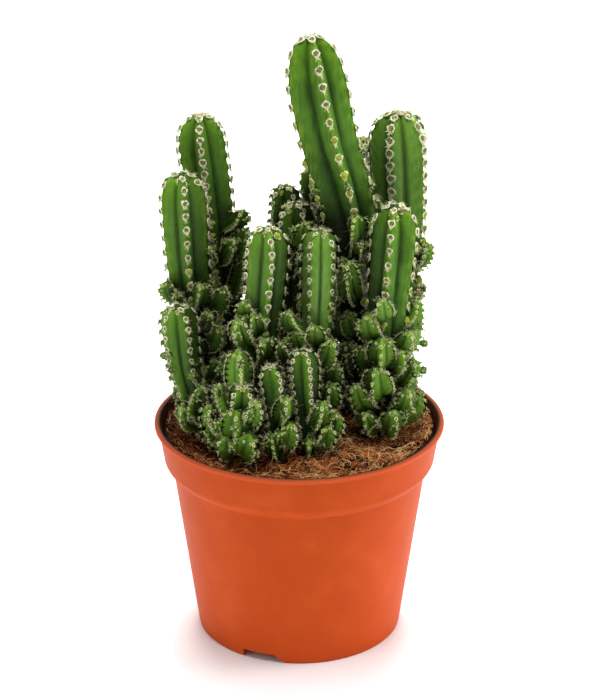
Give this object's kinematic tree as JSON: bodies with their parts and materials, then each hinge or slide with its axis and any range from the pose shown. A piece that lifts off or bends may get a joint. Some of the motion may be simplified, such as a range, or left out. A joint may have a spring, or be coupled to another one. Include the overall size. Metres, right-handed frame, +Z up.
{
  "type": "potted tall cactus",
  "caption": "Tall columnar cactus: ribbed stems of different heights, crowded with small lumpy offsets, standing in soil in a round tapered plastic nursery pot.",
  "frame": {"origin": "on the pot's axis, at the level of its foot", "axes": "+Z up along the pot's axis, -Y towards the viewer of the picture, +X to the viewer's right"},
  "size_m": [0.13, 0.13, 0.2755],
  "materials": {
    "pot": "terracotta-coloured polypropylene, satin",
    "soil": "dark peat under loose reddish-brown coir fibres, matt",
    "flesh": "green cactus skin with a soft waxy sheen, cream woolly areoles and short pale spines"
  },
  "bodies": {
    "root": {"pot": "pot", "soil": "soil", "stem_tall": "flesh", "stem_back_right": "flesh", "stem_back_left": "flesh", "stem_left": "flesh", "stem_left_low": "flesh", "stem_right": "flesh", "stem_mid_left": "flesh", "stem_mid_right": "flesh", "stem_mid_back": "flesh", "stem_back": "flesh", "stem_behind_tall": "flesh", "stem_far_right": "flesh", "offsets_front_left": "flesh", "offsets_front": "flesh", "offsets_front_right": "flesh"}
  },
  "joints": []
}
